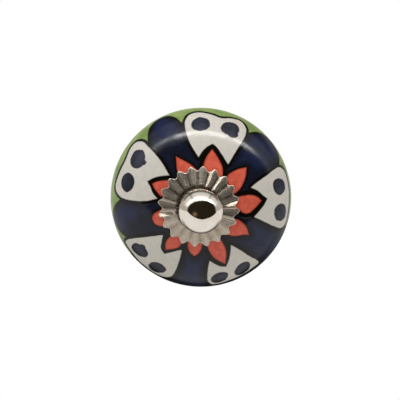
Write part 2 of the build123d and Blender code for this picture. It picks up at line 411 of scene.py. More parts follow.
def smooth_stroke(points):
    """Curve through given points, without its last point (Catmull-Rom)."""
    ends = [2 * points[0] - points[1], *points, 2 * points[-1] - points[-2]]
    share = np.arange(CURVE_STEPS)[:, None] / CURVE_STEPS
    parts = []
    for a, b, c, d in zip(ends, ends[1:], ends[2:], ends[3:]):
        bend = (2 * a - 5 * b + 4 * c - d) * share**2 + (3 * b - a - 3 * c + d) * share**3
        parts.append(b + ((c - a) * share + bend) / 2)
    return np.concatenate(parts)


def stroked_outline(strokes):
    """Closed outline on the flat map, from strokes that meet at corners."""
    return np.concatenate([smooth_stroke(from_photo(stroke)) for stroke in strokes])


def petal_outline(petal):
    """Closed outline of a petal, with its root under the rosette."""
    root = from_photo([petal[1][-1]])
    return np.concatenate([stroked_outline(petal), root])


def dot_outline(dot):
    """Outline of a tilted oval dot."""
    middle, half, tilt = dot
    turn = whole_turn(DOT_STEPS)
    lean = math.radians(tilt)
    along = half[0] * np.cos(turn)
    across = half[1] * np.sin(turn)
    x = middle[0] + along * math.cos(lean) - across * math.sin(lean)
    y = middle[1] + along * math.sin(lean) + across * math.cos(lean)
    return from_photo(np.stack([x, y], -1))


def lobe_outline(lobe):
    """Outline of a blue lobe: a rounded outer end on a broad root."""
    middle, half, reach = lobe
    share = np.linspace(-LOBE_SPREAD, LOBE_SPREAD, LOBE_STEPS)
    outer = flat_map(np.radians(middle + half * share), reach - LOBE_DROP * share**2)
    root = flat_map(np.radians(middle + half * share[::-1]), LOBE_ROOT)
    return np.concatenate([outer, root])


def signed_gap(points, outline):
    """Distance from points to a closed outline, negative inside it."""
    gap = np.full(len(points), FAR)
    low = outline.min(0) - FAR
    high = outline.max(0) + FAR
    near = np.all((points > low) & (points < high), axis=1)
    spots = points[near]
    square = np.full(len(spots), np.inf)
    inside = np.zeros(len(spots), bool)
    for a, b in zip(outline, np.roll(outline, -1, axis=0)):
        edge = b - a
        length = edge @ edge
        if length == 0:
            continue
        offset = spots - a
        share = np.clip(offset @ edge / length, 0, 1)
        square = np.minimum(square, np.sum((offset - share[:, None] * edge) ** 2, axis=1))
        if a[1] != b[1]:
            level = (a[1] > spots[:, 1]) != (b[1] > spots[:, 1])
            crossing = a[0] + (spots[:, 1] - a[1]) * edge[0] / edge[1]
            inside ^= level & (spots[:, 0] < crossing)
    gap[near] = np.where(inside, -1, 1) * np.sqrt(square)
    return np.minimum(gap, FAR)


def nearest_gap(points, outlines):
    """Signed distance to the nearest of several outlines."""
    return np.min([signed_gap(points, outline) for outline in outlines], axis=0)


def paint_fields(points):
    """Signed distances, in millimetres, from points of the flat map to each painted colour."""
    pad = nearest_gap(points, [stroked_outline(strokes) for strokes in PADS])
    pad_petal = nearest_gap(points, [petal_outline(petal) for petal in PAD_PETALS])
    blue_petal = nearest_gap(points, [petal_outline(petal) for petal in BLUE_PETALS])
    dot = nearest_gap(points, [dot_outline(one) for one in DOTS])
    lobe = nearest_gap(points, [lobe_outline(one) for one in LOBES])
    lobe = np.minimum(lobe, np.hypot(points[:, 0], points[:, 1]) - BLUE_MIDDLE)
    lines = [pad - PAD_LINE, pad_petal - PAD_PETAL_LINE, blue_petal - BLUE_PETAL_LINE]
    lines.append(np.abs(lobe) - LOBE_LINE / 2)
    ink = np.min(lines, axis=0)
    petal = np.minimum(pad_petal, blue_petal)
    fields = {"pad": pad, "petal": petal, "dot": dot, "lobe": lobe, "ink": ink}
    return {name: values / MM for name, values in fields.items()}


# Sub-parts

def rear_corner():
    """The rounded edge between the ceramic's rear curve and its rear land, and where the curve ends."""
    def round_centre(angle):
        x = CERAMIC_RADIUS * math.sin(angle)
        y = REAR_RISE * math.cos(angle)
        normal = np.array([x / CERAMIC_RADIUS**2, y / REAR_RISE**2])
        return np.array([x, y]) - CERAMIC_REAR_ROUND * normal / np.linalg.norm(normal)

    low = 0.0
    high = QUARTER
    for _ in range(CORNER_HALVINGS):
        angle = (low + high) / 2
        if round_centre(angle)[1] > CERAMIC_REAR_DEPTH - CERAMIC_REAR_ROUND:
            low = angle
        else:
            high = angle
    centre = round_centre(angle)
    touch = np.array([CERAMIC_RADIUS * math.sin(angle), REAR_RISE * math.cos(angle)])
    start = math.atan2(touch[1] - centre[1], touch[0] - centre[0])
    middle = (centre[0], EQUATOR_Y + centre[1])
    return angle, arc(middle, CERAMIC_REAR_ROUND, start, QUARTER, ROUND_STEPS)


def ceramic_profile():
    """The ceramic's closed section, as (radius, y)."""
    land = np.interp(math.asin(FRONT_LAND_SHARE), FRONT_ANGLES, FRONT_LENGTHS)
    lengths = np.linspace(land, FRONT_LENGTH, CERAMIC_FRONT_RINGS)
    front = np.interp(lengths, FRONT_LENGTHS, FRONT_ANGLES)
    profile = [(CERAMIC_RADIUS * math.sin(a), EQUATOR_Y - FRONT_RISE * math.cos(a)) for a in front]
    corner_angle, corner = rear_corner()
    rear = np.linspace(QUARTER, corner_angle, CERAMIC_REAR_RINGS)[1:-1]
    profile += [(CERAMIC_RADIUS * math.sin(a), EQUATOR_Y + REAR_RISE * math.cos(a)) for a in rear]
    profile += corner
    hole = CERAMIC_HOLE_RADIUS + CERAMIC_HOLE_ROUND
    rear_hole = (hole, CERAMIC_HIGH.y - CERAMIC_HOLE_ROUND)
    front_hole = (hole, CERAMIC_LOW.y + CERAMIC_HOLE_ROUND)
    profile += arc(rear_hole, CERAMIC_HOLE_ROUND, QUARTER, math.pi, ROUND_STEPS)
    profile += arc(front_hole, CERAMIC_HOLE_ROUND, math.pi, math.pi + QUARTER, ROUND_STEPS)
    return profile


def make_ceramic(material):
    """The painted body, with each point's distance to the painted shapes."""
    body = turned("painted_ceramic", ceramic_profile(), CERAMIC_SEGMENTS)
    points = np.array([tuple(vertex.co) for vertex in body.data.vertices])
    reach = surface_reach(points[:, 0], points[:, 1], points[:, 2])
    flat = flat_map(np.arctan2(points[:, 0], points[:, 2]), reach)
    for name, values in paint_fields(flat).items():
        store(body, name, values)
    dress(body, material, "painted_glaze", "ceramic_body")


def flute_turn(clock):
    """Place in a flute at clock angles: 0 at a notch, 1 at the tip and 2 at the next notch."""
    share = ((clock - FLUTE_FIRST_ANGLE) * FLUTE_COUNT / math.tau + FLUTE_TIP_SHARE) % 1
    rising = share / FLUTE_TIP_SHARE
    falling = 1 + (share - FLUTE_TIP_SHARE) / (1 - FLUTE_TIP_SHARE)
    return np.where(share < FLUTE_TIP_SHARE, rising, falling)


def flute_wave(clock):
    """Wave of the flutes at clock angles, 1 at the tips and -1 at the notches."""
    return -np.cos(math.pi * flute_turn(clock))


def shallow(clock):
    """Share of the full flute depth by which the uneven sheet stands forward, at clock angles."""
    tips = FLUTE_FIRST_ANGLE + np.arange(FLUTE_COUNT) * math.tau / FLUTE_COUNT
    depth = np.interp(clock, tips, FLUTE_DEPTHS, period=math.tau)
    wave = flute_wave(clock)
    turn = flute_turn(clock)
    peak = 1 - FLANK_LEAN * np.sin(clock)
    facet = 2 * np.minimum(turn / peak, (2 - turn) / (2 - peak)) - 1
    return (1 - depth) * (1 - wave) / 2 + FLANK_FLATNESS * depth * (facet - wave) / 2


def folded(clock):
    """Height of the folds at clock angles: highest at the crease, with a steep and a long side."""
    height = np.zeros(len(clock))
    for crease, far, top in FOLDS:
        turn = (clock - math.radians(crease) + math.pi) % math.tau - math.pi
        share = turn / math.radians(far - crease)
        height = np.maximum(height, top * np.minimum(1 - share, 1 + share / FOLD_EDGE))
    return height


def flute_section(clock):
    """Radii of the flutes' inner ends and of the rim at clock angles, and the slope between them."""
    wave = flute_wave(clock)
    centre = ROSETTE_CENTRE_RADIUS + ROSETTE_CENTRE_WAVE * wave
    rim = ROSETTE_NOTCH_RADIUS + (ROSETTE_TIP_RADIUS - ROSETTE_NOTCH_RADIUS) * (1 + wave) / 2
    return centre, rim, np.arctan2(ROSETTE_RISE, rim - centre)


def sheet_ring(clock, share, depth):
    """Radius and y of the pressed sheet, at a share of the way to the rim and a depth in the sheet."""
    centre, rim, slope = flute_section(clock)
    inner_drop = 2 * ROSETTE_CENTRE_WAVE * np.tan(slope)
    rim_drop = (ROSETTE_TIP_RADIUS - ROSETTE_NOTCH_RADIUS) * np.tan(slope)
    forward = shallow(clock) * (inner_drop + (rim_drop - inner_drop) * share)
    forward = forward + folded(clock) * np.maximum(share - FOLD_START, 0) / (1 - FOLD_START)
    return centre + (rim - centre) * share, ROSETTE_FRONT_Y + ROSETTE_RISE * share + depth - forward


def rosette_rings(clock):
    """Rings of the rosette's front from the hub to the rim, of its round edge and of its back."""
    centre, rim, slope = flute_section(clock)
    half = ROSETTE_SHEET / 2 * np.cos(slope)
    end = (rim - half - centre) / (rim - centre)
    shares = [end * k / ROSETTE_RINGS for k in range(ROSETTE_RINGS)]
    hub_edge = (HUB_RADIUS - HUB_ROUND, ROSETTE_LOW.y + HUB_ROUND)
    front = [(ROSETTE_HOLE_RADIUS, ROSETTE_LOW.y)]
    front += arc(hub_edge, HUB_ROUND, -QUARTER, 0, ROUND_STEPS)
    front.append((HUB_RADIUS, ROSETTE_FRONT_Y))
    front += [sheet_ring(clock, share, 0) for share in shares]
    edge_radius, edge_y = sheet_ring(clock, end, ROSETTE_SHEET / 2)
    turns = [turn + slope for turn in np.linspace(0, math.pi, RIM_STEPS + 1)]
    edge = [(edge_radius + half * np.sin(turn), edge_y - half * np.cos(turn)) for turn in turns]
    back = [sheet_ring(clock, share, ROSETTE_SHEET) for share in reversed(shares)]
    back.append((ROSETTE_HOLE_RADIUS, ROSETTE_FRONT_Y + ROSETTE_SHEET))
    return front, edge, back


def make_rosette(material):
    """The fluted rosette: a raised hub, a flat middle, ruled flutes and a full round rim."""
    segments = FLUTE_COUNT * FLUTE_STEPS
    clock = whole_turn(segments)
    front, edge, back = rosette_rings(clock)
    rings = front + edge + back
    points = np.concatenate([around(radius, clock, y) for radius, y in rings])
    worn = np.zeros((len(rings), segments))
    worn[len(front) + 1:len(front) + len(edge) - 1] = 1
    reach = np.hypot(points[:, 0], points[:, 2])
    points[:, 0] += ROSETTE_CENTRE_X
    rosette = add_mesh("fluted_rosette", points, ring_faces(len(rings), segments, closed=True))
    store(rosette, "ridge", np.tile(flute_wave(clock), len(rings)))
    store(rosette, "reach", reach / MM)
    store(rosette, "worn", worn.ravel())
    dress(rosette, material, "pressed_plate", "flower_rosette")


def make_ball(material):
    """The polished ball: a broad cap, a rounder edge, a neck and the blind hole for the rod."""
    widest_y = BALL_HIGH.y - BALL_NECK_LENGTH - math.sqrt(BALL_RADIUS**2 - BALL_NECK_RADIUS**2)
    inset = BALL_RADIUS - BALL_EDGE_ROUND
    cap_radius = inset / math.cos(BALL_EDGE_ANGLE) + BALL_EDGE_ROUND
    cap_y = BALL_LOW.y + cap_radius
    neck = math.acos(BALL_NECK_RADIUS / BALL_RADIUS)
    profile = [(0.0, BALL_LOW.y)]
    profile += arc((0, cap_y), cap_radius, -QUARTER, -BALL_EDGE_ANGLE, BALL_RINGS)[1:]
    profile += arc((inset, widest_y), BALL_EDGE_ROUND, -BALL_EDGE_ANGLE, 0, BALL_EDGE_STEPS)[1:]
    profile += arc((0, widest_y), BALL_RADIUS, 0, neck, BALL_REAR_STEPS)[1:]
    profile.append((BALL_NECK_RADIUS, BALL_HIGH.y))
    tip_y = BALL_LOW.y + BALL_WALL
    profile.append((BALL_HOLE_RADIUS, BALL_HIGH.y))
    profile.append((BALL_HOLE_RADIUS, tip_y + BALL_HOLE_RADIUS / BALL_DRILL_SLOPE))
    profile.append((0.0, tip_y))
    dress(turned("polished_ball", profile, BALL_SEGMENTS), material, "polished_plate", "ball_cap")


def thread_height(turns):
    """Share of a thread's depth at a number of turns along it: flat crests and roots, sloped flanks."""
    share = np.abs(turns % 1 - 0.5) * 2
    return np.clip((share - THREAD_CREST) / (1 - 2 * THREAD_CREST), 0, 1)


def make_rod(material):
    """The rod with its real helical thread, chamfered at both ends."""
    clock = whole_turn(ROD_SEGMENTS)
    count = round((ROD_HIGH.y - ROD_LOW.y) / THREAD_PITCH * THREAD_STEPS)
    stations = np.linspace(ROD_LOW.y, ROD_HIGH.y, count + 1)
    tip = ROD_RADIUS - ROD_CHAMFER
    rings = []
    heights = []
    for y in stations:
        height = thread_height(y / THREAD_PITCH - clock / math.tau)
        end = min(y - ROD_LOW.y, ROD_HIGH.y - y)
        radius = ROD_RADIUS - THREAD_DEPTH * (1 - height)
        rings.append(around(np.minimum(radius, tip + end), clock, y))
        heights.append(height)
    points = np.concatenate([*rings, [(0, ROD_LOW.y, 0), (0, ROD_HIGH.y, 0)]])
    faces = ring_faces(len(rings), ROD_SEGMENTS, closed=False)
    faces += cap_faces(0, ROD_SEGMENTS, len(points) - 2)
    faces += cap_faces(len(rings) - 1, ROD_SEGMENTS, len(points) - 1)
    rod = add_mesh("threaded_stud", points, faces)
    store(rod, "crest", np.concatenate([*heights, [1, 1]]))
    dress(rod, material, "zinc_steel", "threaded_rod")


def make_nut(material):
    """The hexagon nut: flats cut by the two chamfer cones, and a bore with chamfered ends."""
    clock = whole_turn(NUT_SEGMENTS)
    side = math.tau / NUT_SIDES
    hexagon = NUT_FLAT_RADIUS / np.cos((clock + QUARTER) % side - side / 2)
    stations = np.linspace(NUT_LOW.y, NUT_HIGH.y, NUT_ROWS)
    rings = []
    for y in stations:
        end = min(y - NUT_LOW.y, NUT_HIGH.y - y)
        cone = NUT_FACE_RADIUS + end / NUT_CHAMFER_SLOPE
        rings.append(around(np.minimum(hexagon, cone), clock, y))
    mouth = NUT_HOLE_RADIUS + NUT_HOLE_CHAMFER
    bore = (
        (mouth, NUT_HIGH.y),
        (NUT_HOLE_RADIUS, NUT_HIGH.y - NUT_HOLE_CHAMFER),
        (NUT_HOLE_RADIUS, NUT_LOW.y + NUT_HOLE_CHAMFER),
        (mouth, NUT_LOW.y),
    )
    rings += [around(radius, clock, y) for radius, y in bore]
    faces = ring_faces(len(rings), NUT_SEGMENTS, closed=True)
    nut = add_mesh("hexagon_nut", np.concatenate(rings), faces)
    store(nut, "crest", np.ones(len(nut.data.vertices)))
    dress(nut, material, "zinc_steel", "hex_nut")


def make_washer(material):
    """The flat washer, rounded where its edge was punched."""
    edge = (WASHER_RADIUS - WASHER_ROUND, WASHER_HIGH.y - WASHER_ROUND)
    profile = [(PASS_RADIUS, WASHER_LOW.y), (WASHER_RADIUS, WASHER_LOW.y)]
    profile += arc(edge, WASHER_ROUND, 0, QUARTER, ROUND_STEPS)
    profile.append((PASS_RADIUS, WASHER_HIGH.y))
    washer = turned("punched_washer", profile, TURNED_SEGMENTS)
    store(washer, "crest", np.ones(len(washer.data.vertices)))
    dress(washer, material, "zinc_steel", "flat_washer")


def cove_profile(start, waist, end):
    """Circular arc through a start, a waist halfway along and an end, as (radius, y)."""
    a = np.array([[2 * (p[0] - start[0]), 2 * (p[1] - start[1])] for p in (waist, end)])
    b = np.array([p[0] ** 2 + p[1] ** 2 - start[0] ** 2 - start[1] ** 2 for p in (waist, end)])
    centre = np.linalg.solve(a, b)
    first = math.atan2(start[1] - centre[1], start[0] - centre[0]) % math.tau
    last = math.atan2(end[1] - centre[1], end[0] - centre[0]) % math.tau
    radius = math.hypot(start[0] - centre[0], start[1] - centre[1])
    return arc(centre, radius, first, last, COVE_STEPS)


def make_base(material):
    """The turned pedestal: a flange on the cabinet, a hollow waist and a seat for the ceramic."""
    flange_y = BASE_HIGH.y - BASE_FLANGE_THICKNESS
    seat_y = BASE_LOW.y + BASE_SEAT_THICKNESS
    flange = (BASE_FLANGE_RADIUS - BASE_FLANGE_ROUND, flange_y + BASE_FLANGE_ROUND)
    seat = (BASE_SEAT_RADIUS - BASE_SEAT_ROUND, BASE_LOW.y + BASE_SEAT_ROUND)
    waist = (BASE_WAIST_RADIUS, (flange_y + seat_y) / 2)
    profile = [(PASS_RADIUS, BASE_HIGH.y), (BASE_FLANGE_RADIUS, BASE_HIGH.y)]
    profile += arc(flange, BASE_FLANGE_ROUND, 0, -QUARTER, ROUND_STEPS)
    profile += cove_profile((BASE_LEDGE_RADIUS, flange_y), waist, (BASE_SEAT_RADIUS, seat_y))
    profile += arc(seat, BASE_SEAT_ROUND, 0, -QUARTER, ROUND_STEPS)
    profile.append((PASS_RADIUS, BASE_LOW.y))
    dress(turned("turned_base", profile, TURNED_SEGMENTS), material, "polished_plate", "rear_base")


# Material helpers

# Detail of a noise
SMOOTH_DETAIL = 2.0
PLAIN_DETAIL = 3.0
RICH_DETAIL = 4.0


def feed(tree, socket, value):
    """Links a socket to another node's output, or sets its value."""
    if isinstance(value, bpy.types.NodeSocket):
        tree.links.new(value, socket)
    else:
        socket.default_value = value


def feed_all(tree, made, inputs):
    """Feeds several inputs of a node, given by name or number."""
    for key, value in inputs.items():
        feed(tree, made.inputs[key], value)


def node(tree, kind, inputs, **settings):
    """New node with its settings and its inputs."""
    made = tree.nodes.new(kind)
    for name, value in settings.items():
        setattr(made, name, value)
    feed_all(tree, made, inputs)
    return made


def calc(tree, operation, *values):
    """Result of a math node."""
    return node(tree, "ShaderNodeMath", dict(enumerate(values)), operation=operation).outputs[0]


def times(tree, first, second):
    """Product of two values."""
    return calc(tree, "MULTIPLY", first, second)


def apart(tree, first, second):
    """How far two values are apart."""
    return calc(tree, "ABSOLUTE", calc(tree, "SUBTRACT", first, second))


def stepped(tree, value, start, end, low=0.0, high=1.0):
    """Smooth step of a value between two limits."""
    inputs = {"Value": value, "From Min": start, "From Max": end, "To Min": low, "To Max": high}
    return node(tree, "ShaderNodeMapRange", inputs, interpolation_type="SMOOTHSTEP").outputs[0]


def blend(tree, factor, first, second):
    """Mix of two colours."""
    return node(tree, "ShaderNodeMix", {0: factor, 6: first, 7: second}, data_type="RGBA").outputs[2]


def field(tree, name):
    """Number kept on the mesh's points."""
    return node(tree, "ShaderNodeAttribute", {}, attribute_name=name).outputs["Fac"]


def axes(tree, vector):
    """The x, y and z of a vector."""
    return node(tree, "ShaderNodeSeparateXYZ", {0: vector}).outputs


def place(tree, stretch=(1, 1, 1)):
    """Position in the part's frame, stretched along its axes."""
    here = node(tree, "ShaderNodeTexCoord", {}).outputs["Object"]
    return node(tree, "ShaderNodeVectorMath", {0: here, 1: stretch}, operation="MULTIPLY").outputs[0]


def noise(tree, size, detail=PLAIN_DETAIL):
    """Noise between 0 and 1, with features about as large as the given size."""
    inputs = {"Vector": place(tree), "Scale": 1 / size, "Detail": detail}
    return node(tree, "ShaderNodeTexNoise", inputs).outputs["Fac"]


def bumped(tree, height, distance, strength, below=None):
    """Normal of a surface with small relief."""
    inputs = {"Height": height, "Distance": distance, "Strength": strength}
    if below is not None:
        inputs["Normal"] = below
    return node(tree, "ShaderNodeBump", inputs).outputs[0]


def glowing(tree, colour):
    """Shader that gives off a colour."""
    return node(tree, "ShaderNodeEmission", {"Color": colour}).outputs[0]


def mixed(tree, factor, first, second):
    """Mix of two shaders."""
    return node(tree, "ShaderNodeMixShader", {0: factor, 1: first, 2: second}).outputs[0]


def linked(shader, name):
    """What a shader's input is linked to."""
    return shader.inputs[name].links[0].from_socket


def new_material(name):
    """New material, with its tree and its shader."""
    material = bpy.data.materials.new(name)
    material.use_nodes = True
    tree = material.node_tree
    return material, tree, tree.nodes["Principled BSDF"]


def rgb(red, green, blue):
    """Colour for a shader socket from a colour as it looks on a screen, 0 to 255."""
    shares = [value / 255 for value in (red, green, blue)]
    return (*[s / 12.92 if s <= 0.04045 else ((s + 0.055) / 1.055) ** 2.4 for s in shares], 1.0)


# Paints under the glaze
GREEN_LIGHT = rgb(154, 175, 106)
GREEN_DEEP = rgb(128, 150, 84)
NAVY_DEEP = rgb(22, 25, 38)
NAVY_LIGHT = rgb(36, 43, 76)
INK = rgb(16, 13, 9)
WHITE_COOL = rgb(212, 208, 200)
WHITE_WARM = rgb(220, 213, 200)
RED_LIGHT = rgb(228, 107, 84)
RED_DEEP = rgb(212, 91, 71)
RED_EDGE = rgb(168, 62, 46)
DOT_LIGHT = rgb(44, 49, 66)
DOT_DEEP = rgb(24, 27, 39)

# Sizes of the brushwork, and the spans of a noise over which one tone turns into the other
BRUSH_SIZE = 3.2 * MM
STREAK_SIZE = 1.1 * MM
WASH_SIZE = 5.0 * MM
GREEN_SPAN = (0.32, 0.68)
WASH_SPAN = (0.28, 0.62)
WASH_STREAKS = (0.2, 0.7, 0.7, 1.0)
WHITE_SPAN = (0.35, 0.7)
RED_SPAN = (0.3, 0.7)
DOT_SPAN = (0.35, 0.65)

# Spans of the distances that the mesh keeps, in millimetres, and the half width of a paint's edge
POOL_SPAN = (0.1, 2.0)
PETAL_EDGE_SPAN = (-0.45, 0.1, 0.0, 0.8)
DOT_CORE_SPAN = (-0.1, -0.8)
LINE_SPAN = (0.25, -0.1)
PAINT_EDGE = 0.14

# Unsteady edges of the paints and of the dots: size of the waves, and their height in millimetres
PAINT_WOBBLE = (1.4 * MM, 0.22)
DOT_WOBBLE = (2.6 * MM, 1.1)

# The glaze: its gloss over dull paint, and the height and strength of its relief
GLAZE = {"Roughness": 0.5, "Specular IOR Level": 0.0,
         "Coat Weight": 0.55, "Coat Roughness": 0.12, "Coat IOR": 1.5}
LINE_RELIEF = (0.03 * MM, 0.6)
WAVE_SIZE = 2.4 * MM
WAVE_RELIEF = (0.06 * MM, 0.5)
SPECK_SIZE = 0.35 * MM
SPECK_RELIEF = (0.004 * MM, 0.5)


def wobbled(tree, size, height):
    """Small shift that makes a painted edge unsteady."""
    return times(tree, calc(tree, "SUBTRACT", noise(tree, size), 0.5), height)


def painted(tree, name, wobble, under, over):
    """Paint laid over another, inside the outline whose distances the mesh keeps."""
    gap = calc(tree, "ADD", field(tree, name), wobble)
    return blend(tree, stepped(tree, gap, PAINT_EDGE, -PAINT_EDGE), under, over)


def paint_colour(tree):
    """The paints, each with its brushwork, laid over one another."""
    brush = noise(tree, BRUSH_SIZE, RICH_DETAIL)
    streak = noise(tree, STREAK_SIZE)
    green = blend(tree, stepped(tree, brush, *GREEN_SPAN), GREEN_DEEP, GREEN_LIGHT)
    pooled = stepped(tree, field(tree, "ink"), *POOL_SPAN)
    wash = times(tree, stepped(tree, noise(tree, WASH_SIZE), *WASH_SPAN), pooled)
    wash = times(tree, wash, stepped(tree, streak, *WASH_STREAKS))
    navy = blend(tree, wash, NAVY_DEEP, NAVY_LIGHT)
    white = blend(tree, stepped(tree, streak, *WHITE_SPAN), WHITE_WARM, WHITE_COOL)
    red = blend(tree, stepped(tree, streak, *RED_SPAN), RED_DEEP, RED_LIGHT)
    red = blend(tree, stepped(tree, field(tree, "petal"), *PETAL_EDGE_SPAN), red, RED_EDGE)
    core = stepped(tree, field(tree, "dot"), *DOT_CORE_SPAN)
    core = times(tree, core, stepped(tree, brush, *DOT_SPAN))
    dot = blend(tree, core, DOT_DEEP, DOT_LIGHT)
    wobble = wobbled(tree, *PAINT_WOBBLE)
    colour = green
    for name, paint in (("lobe", navy), ("ink", INK), ("pad", white), ("petal", red)):
        colour = painted(tree, name, wobble, colour, paint)
    return painted(tree, "dot", wobbled(tree, *DOT_WOBBLE), colour, dot)


def glaze_relief(tree):
    """Normal of the glaze: raised lines, slow waves and fine specks."""
    relief = bumped(tree, stepped(tree, field(tree, "ink"), *LINE_SPAN), *LINE_RELIEF)
    relief = bumped(tree, noise(tree, WAVE_SIZE, SMOOTH_DETAIL), *WAVE_RELIEF, relief)
    return bumped(tree, noise(tree, SPECK_SIZE, SMOOTH_DETAIL), *SPECK_RELIEF, relief)


def painted_glaze():
    """Hand-painted colours under a clear glaze."""
    material, tree, shader = new_material("painted_glaze")
    relief = glaze_relief(tree)
    feed_all(tree, shader, GLAZE)
    feed_all(tree, shader, {"Base Color": paint_colour(tree), "Normal": relief, "Coat Normal": relief})
    return material


# Plated metals: two tones, the limits of the roughness, and the size and the height of the grain
POLISHED = (rgb(218, 210, 198), rgb(226, 220, 210), (0.04, 0.1), 0.25 * MM, 0.002 * MM)
PRESSED = (rgb(172, 159, 143), rgb(188, 176, 160), (0.27, 0.3), 0.3 * MM, 0.001 * MM)
ZINC = (rgb(168, 170, 172), rgb(196, 198, 198), (0.26, 0.44), 0.2 * MM, 0.01 * MM)
CLOUD_SIZE = 2.5 * MM
CLOUD_SPAN = (0.3, 0.7)
GRAIN_SPAN = (0.3, 0.75)
GRAIN_STRENGTH = 0.4

# The rosette's plate: specks, light crests (wear and painted highlight), dark valleys (grime and
# painted shade), both stronger towards the top, a darker ring round the hub, a worn rim and drawn
# lines.
# Spans are of a noise, the flutes' wave, the height, or the reach in millimetres
SPOT_COLOUR = rgb(112, 98, 84)
SPOT_SIZE = 0.4 * MM
SPOT_SPAN = (0.4, 0.68, 0.0, 0.25)
UPPER_LIGHT_AND_SHADE_SPAN = (-4.0 * MM, 2.0 * MM, 0.4, 1.0)
CREST_HIGHLIGHT_COLOUR = rgb(222, 213, 201)
CREST_HIGHLIGHT_SPAN = (0.65, 1.0, 0.0, 0.45)
VALLEY_SPAN = (-0.2, -1.0)
GRIME_AND_SHADE_COLOUR = rgb(70, 60, 48)
GRIME_AND_SHADE_SIZE = 1.2 * MM
GRIME_AND_SHADE_SPAN = (0.3, 0.65, 0.4, 0.9)
WELL_INNER_SPAN = (4.2, 4.36)
WELL_OUTER_SPAN = (5.6, 4.7)
WORN_COLOUR = rgb(226, 216, 204)
DRAWN_SCALE = 24.0
DRAWN_RELIEF = (0.08 * MM, 0.5)
PRESSED_METALLIC = 0.75

# The thread's dark roots
ROOT_COLOUR = rgb(70, 68, 64)
ROOT_SPAN = (0.5, 0.0, 0.0, 0.7)


def plated(name, deep, light, roughness, grain, relief):
    """Plated metal with a faint grain and uneven gloss, with its tree and its shader."""
    material, tree, shader = new_material(name)
    cloud = stepped(tree, noise(tree, CLOUD_SIZE, RICH_DETAIL), *CLOUD_SPAN)
    fine = noise(tree, grain)
    feed_all(tree, shader, {
        "Metallic": 1.0,
        "Base Color": blend(tree, cloud, deep, light),
        "Roughness": stepped(tree, fine, *GRAIN_SPAN, *roughness),
        "Normal": bumped(tree, fine, relief, GRAIN_STRENGTH),
    })
    return material, tree, shader


def polished_plate():
    """Bright plate of the ball and the base, with fine polishing marks."""
    return plated("polished_plate", *POLISHED)[0]


def pressed_colour(tree, plain):
    """The rosette's plate: specks, painted highlight on crests, grime and painted shade, worn rim."""
    spots = stepped(tree, noise(tree, SPOT_SIZE, SMOOTH_DETAIL), *SPOT_SPAN)
    colour = blend(tree, spots, plain, SPOT_COLOUR)
    ridge = field(tree, "ridge")
    # Crests lighter and valleys darker, more so towards the top: painted highlight and painted shade,
    # partly wear and grime
    upper_light_and_shade = stepped(tree, axes(tree, place(tree))["Z"], *UPPER_LIGHT_AND_SHADE_SPAN)
    crest = times(tree, upper_light_and_shade, stepped(tree, ridge, *CREST_HIGHLIGHT_SPAN))
    colour = blend(tree, crest, colour, CREST_HIGHLIGHT_COLOUR)
    valley = times(tree, upper_light_and_shade, stepped(tree, ridge, *VALLEY_SPAN))
    grime_and_shade = times(tree, valley, stepped(tree, noise(tree, GRIME_AND_SHADE_SIZE), *GRIME_AND_SHADE_SPAN))
    reach = field(tree, "reach")
    well = stepped(tree, reach, *WELL_INNER_SPAN)
    well = times(tree, well, stepped(tree, reach, *WELL_OUTER_SPAN))
    colour = blend(tree, calc(tree, "MAXIMUM", grime_and_shade, well), colour, GRIME_AND_SHADE_COLOUR)
    return blend(tree, field(tree, "worn"), colour, WORN_COLOUR)


def drawn_lines(tree):
    """Lines along the flutes: noise that changes only round the rosette's middle."""
    ends = {0: place(tree, (1, 0, 1)), 1: (ROSETTE_CENTRE_X, 0, 0)}
    offset = node(tree, "ShaderNodeVectorMath", ends, operation="SUBTRACT").outputs[0]
    spoke = node(tree, "ShaderNodeVectorMath", {0: offset}, operation="NORMALIZE").outputs[0]
    inputs = {"Vector": spoke, "Scale": DRAWN_SCALE, "Detail": PLAIN_DETAIL}
    return node(tree, "ShaderNodeTexNoise", inputs).outputs["Fac"]


def pressed_plate():
    """Plate of the pressed rosette: grainy, with grime and painted shade in the valleys."""
    material, tree, shader = plated("pressed_plate", *PRESSED)
    colour = pressed_colour(tree, linked(shader, "Base Color"))
    relief = bumped(tree, drawn_lines(tree), *DRAWN_RELIEF, linked(shader, "Normal"))
    feed_all(tree, shader, {"Metallic": PRESSED_METALLIC, "Base Color": colour, "Normal": relief})
    return material


def zinc_steel():
    """Zinc-plated steel of the rod, the nut and the washer, darker in the thread's roots."""
    material, tree, shader = plated("zinc_steel", *ZINC)
    root = stepped(tree, field(tree, "crest"), *ROOT_SPAN)
    colour = blend(tree, root, linked(shader, "Base Color"), ROOT_COLOUR)
    feed(tree, shader.inputs["Base Color"], colour)
    return material


# Stage: a white tent with an open, dark front; spans are of a direction's x, y or z
TENT_ROOF_FORWARD = 0.62
TENT_ROOF_SLANT = 0.09
TENT_ROOF_SPAN = (0.2, 0.42)
TENT_LIT_SLANT = 0.1
TENT_LIT_SPAN = (0.08, -0.08)
TENT_REAR_SPAN = (0.15, 0.45)
TENT_REAR_RISE = (0.2, 0.5)
TENT_OPENING_SPAN = (0.075, -0.095)
TENT_LEFT = 0.38
TENT_RIGHT = 0.22
TENT_CORNER = 0.25
TENT_SEAM = 0.7
TENT_SEAM_HALF = 0.16
TENT_SEAM_SHADE = 0.5

# The tent's light, with a dull patch in its front
WHITE = (1, 1, 1, 1)
TENT_ROOF = (0.85, 0.84, 0.815, 1.0)
TENT_ROOF_LIT = (1.42, 1.42, 1.4, 1.0)
TENT_WALL = (0.54, 0.52, 0.48, 1.0)
TENT_REAR = (0.14, 0.135, 0.125, 1.0)
TENT_FRONT = (0.022, 0.017, 0.009, 1.0)
PATCH = (0.26, 0.165, 0.115, 1.0)
PATCH_TOWARD = (-0.48, -0.86, -0.17)
PATCH_RADIUS = 0.3
TENT_FILL_LEFT = (0.76, 0.76, 0.76, 1.0)
TENT_FILL_RIGHT = (0.44, 0.44, 0.44, 1.0)
TENT_FILL_SPAN = (-0.5, 0.9)

